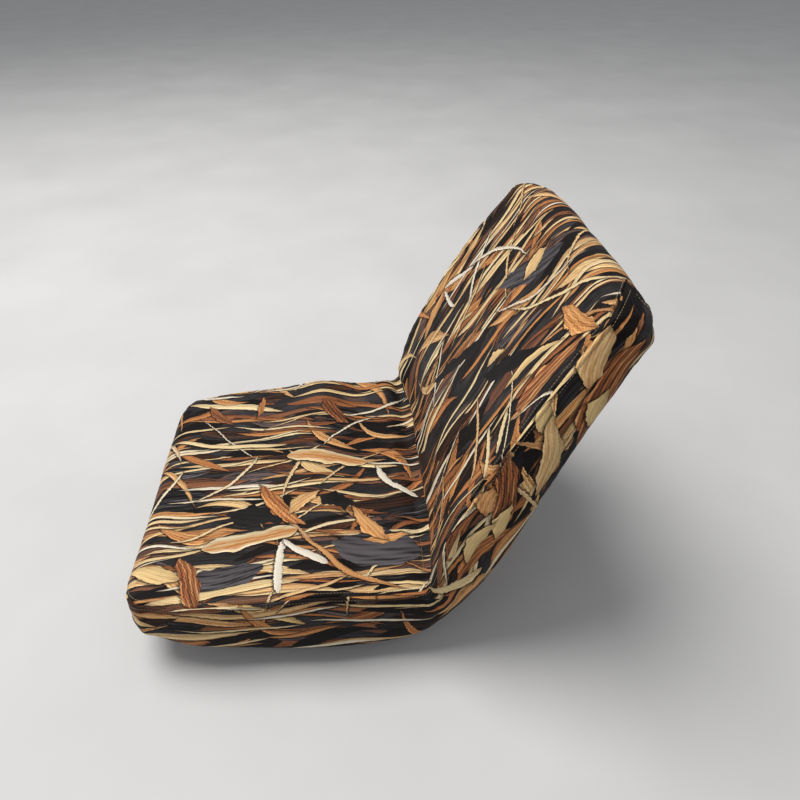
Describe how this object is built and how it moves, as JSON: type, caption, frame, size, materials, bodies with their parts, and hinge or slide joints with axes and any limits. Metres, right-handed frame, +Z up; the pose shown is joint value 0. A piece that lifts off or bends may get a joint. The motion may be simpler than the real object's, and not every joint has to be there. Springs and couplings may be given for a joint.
{
  "type": "swivel seat",
  "caption": "Padded bucket seat with a reed-print slip-on cover, turning on a ball-bearing swivel plate.",
  "frame": {"origin": "on the swivel axis, at the underside of the lower swivel plate, which stands on the ground", "axes": "+Z up along the swivel axis, -Y towards the front edge of the seat, +X towards the sitter's left"},
  "size_m": [0.4698, 0.6088, 0.4935],
  "materials": {
    "cover_fabric": "printed polyester with a mild sheen",
    "hem_tape": "matt binding tape",
    "elastic": "matt braided elastic",
    "foam": "matt open-cell foam",
    "shell_plastic": "matt moulded plastic with a fine grain",
    "plate_steel": "satin black powder coat",
    "zinc_steel": "bright zinc plate",
    "ball_steel": "polished"
  },
  "bodies": {
    "base": {"swivel_lower_plate": "plate_steel", "swivel_stud": "zinc_steel", "stud_washer": "zinc_steel", "stud_lock_nut": "zinc_steel"},
    "cage": {"ball_retainer": "zinc_steel", "bearing_ball_01": "ball_steel", "bearing_ball_02": "ball_steel", "bearing_ball_03": "ball_steel", "bearing_ball_04": "ball_steel", "bearing_ball_05": "ball_steel", "bearing_ball_06": "ball_steel", "bearing_ball_07": "ball_steel", "bearing_ball_08": "ball_steel", "bearing_ball_09": "ball_steel", "bearing_ball_10": "ball_steel", "bearing_ball_11": "ball_steel", "bearing_ball_12": "ball_steel"},
    "seat": {"seat_shell": "shell_plastic", "seat_foam": "foam", "back_foam": "foam", "cover_seat_panel": "cover_fabric", "cover_back_panel": "cover_fabric", "cover_side_panel_left": "cover_fabric", "cover_side_panel_right": "cover_fabric", "cover_hem": "hem_tape", "hem_elastic": "elastic", "swivel_upper_plate": "plate_steel", "seat_bolt_1": "zinc_steel", "spring_washer_1": "zinc_steel", "flat_washer_1": "zinc_steel", "threaded_insert_1": "zinc_steel", "seat_bolt_2": "zinc_steel", "spring_washer_2": "zinc_steel", "flat_washer_2": "zinc_steel", "threaded_insert_2": "zinc_steel", "seat_bolt_3": "zinc_steel", "spring_washer_3": "zinc_steel", "flat_washer_3": "zinc_steel", "threaded_insert_3": "zinc_steel", "seat_bolt_4": "zinc_steel", "spring_washer_4": "zinc_steel", "flat_washer_4": "zinc_steel", "threaded_insert_4": "zinc_steel"}
  },
  "joints": [
    {"name": "swivel", "type": "hinge", "parent": "base", "child": "seat", "pos_m": [0, 0, 0.014], "axis": [0, 0, 1], "continuous": true},
    {"name": "cage_turn", "type": "hinge", "parent": "base", "child": "cage", "pos_m": [0, 0, 0.014], "axis": [0, 0, 1], "continuous": true}
  ],
  "couplings": [
    {"joint": "cage_turn", "follows": "swivel", "ratio": 0.5}
  ]
}
